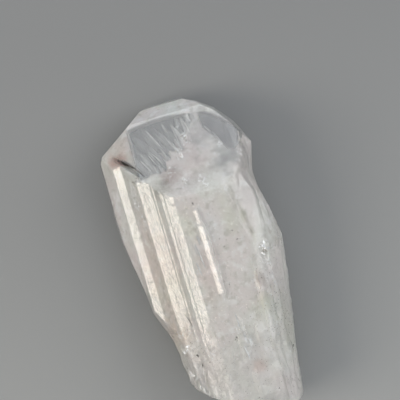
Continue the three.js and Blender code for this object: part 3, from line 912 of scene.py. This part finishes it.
def skin_material():
    """The clear crystal: plain transmission, refraction and a faint absorption, polished or etched by place."""
    m = Nodes("danburite")
    shader = m.shader
    # The base colour greys over the right-hand window as painted shade.
    m.put(m.blend(m.value_of("painted_window_shade"), SKIN_COLOUR, PAINTED_WINDOW_SHADE_COLOUR), shader.inputs["Base Color"])
    shader.inputs["IOR"].default_value = DANBURITE_IOR
    shader.inputs["Transmission Weight"].default_value = TRANSMITTED
    etched, pitted = m.value_of("etched"), m.value_of("pitted")
    m.put(m.sum(m.ramp(pitted, 0, 0.3, 0.05, 0.12), 0.24, etched), shader.inputs["Roughness"])
    grain = m.noise(0.4, 3, 11)
    pits = m.ramp(m.noise(0.26, 2, 12), 0.54, 0.64)
    rough = m.sum(m.ramp(pitted, 0, 0.3, 0.08, 0.3), 1.4, etched)
    height = m.sum(0.0, grain, rough)
    height = m.sum(height, pits, m.sum(0.0, -0.9, pitted))
    bump = m.add("Bump", Height=height)
    bump.inputs["Strength"].default_value = 1.0
    bump.inputs["Distance"].default_value = GRAIN_DEPTH
    m.put(bump.outputs["Normal"], shader.inputs["Normal"])
    absorb = m.add("VolumeAbsorption")
    absorb.inputs["Color"].default_value = ABSORBING_COLOUR
    absorb.inputs["Density"].default_value = ABSORBING_DENSITY
    m.put(absorb.outputs["Volume"], m.tree.nodes["Material Output"].inputs["Volume"])
    return m.material


def cloud_material():
    """Milky mineral: rosy and greenish by turns, with whiter veils, duller spots and fine grain."""
    m = Nodes("cloud")
    colour = CLOUD_COLOUR
    for size, detail, seed, start, end, over in CLOUD_LAYERS:
        colour = m.blend(m.ramp(m.noise(size, detail, seed), start, end), colour, over)
    # The tints also carry light and shade painted on the cloud.
    tint_and_painted_shading = m.add("Attribute", attribute_name="tint_and_painted_shading").outputs["Color"]
    m.put(m.blend(1.0, colour, tint_and_painted_shading, "MULTIPLY"), m.shader.inputs["Base Color"])
    m.shader.inputs["Roughness"].default_value = 0.8
    m.shader.inputs["Specular IOR Level"].default_value = 0.0
    return m.material


def grainy_material(name, colour, roughness):
    """A colour that is a little darker in places, and darker still where the shade is low."""
    m = Nodes(name)
    dull = tuple(c * 0.75 for c in colour)
    uneven = m.blend(m.noise(0.5, 3, 7), colour, dull)
    m.put(m.blend(m.value_of("shade"), (0, 0, 0), uneven), m.shader.inputs["Base Color"])
    m.shader.inputs["Roughness"].default_value = roughness
    return m.material


def wisp_material():
    return grainy_material("wisps", (1.0, 1.0, 0.98), 0.6)


def flake_material(name):
    return grainy_material(name, (0.94, 0.97, 1.0), 0.2)


# Grey of broken facets, dark grains and cracks, and painted shadow among the bright flakes.
def shard_and_shadow_material():
    return grainy_material("shards_and_shadows", (0.40, 0.385, 0.355), 0.5)


def speck_material():
    return grainy_material("specks", (0.06, 0.05, 0.045), 0.6)


def stain_material():
    """Nearly black, and rusty where the shade is high."""
    m = Nodes("stain")
    m.put(m.blend(m.value_of("shade"), STAIN_DARK, STAIN_RUSTY), m.shader.inputs["Base Color"])
    m.shader.inputs["Roughness"].default_value = 0.6
    return m.material


# ---------- The floor ----------
AIR_GAP = 0.02 * MM  # keeps the floor and the clear foot from being one optical surface
FLOOR_SIZE = 3  # metres
FLOOR_FADE = 0.045  # metres from the middle to where the floor's shade stops changing


def floor_material():
    """Matt grey card, with painted shade that makes it a little darker beyond the tip."""
    m = Nodes("floor")
    middle = m.add("SeparateXYZ")
    m.put(m.add("TexCoord").outputs["Object"], middle.inputs["Vector"])
    far = m.ramp(middle.outputs["Y"], -FLOOR_FADE, FLOOR_FADE)
    m.put(m.blend(far, (0.270, 0.278, 0.277), (0.190, 0.196, 0.199)), m.shader.inputs["Base Color"])
    m.shader.inputs["Roughness"].default_value = 0.9
    return m.material


def make_floor():
    bpy.ops.mesh.primitive_plane_add(size=FLOOR_SIZE, location=(0, 0, -AIR_GAP))
    floor = bpy.context.object
    floor.name = "floor"
    floor.data.materials.append(floor_material())


make_camera()
make_lights()
make_floor()
front = Front(make_crystal())
make_cloud()
make_wisps()
make_scratches(front)
make_flakes(front)
make_shards_and_shadows(front)
make_specks(front)
make_stain(front)
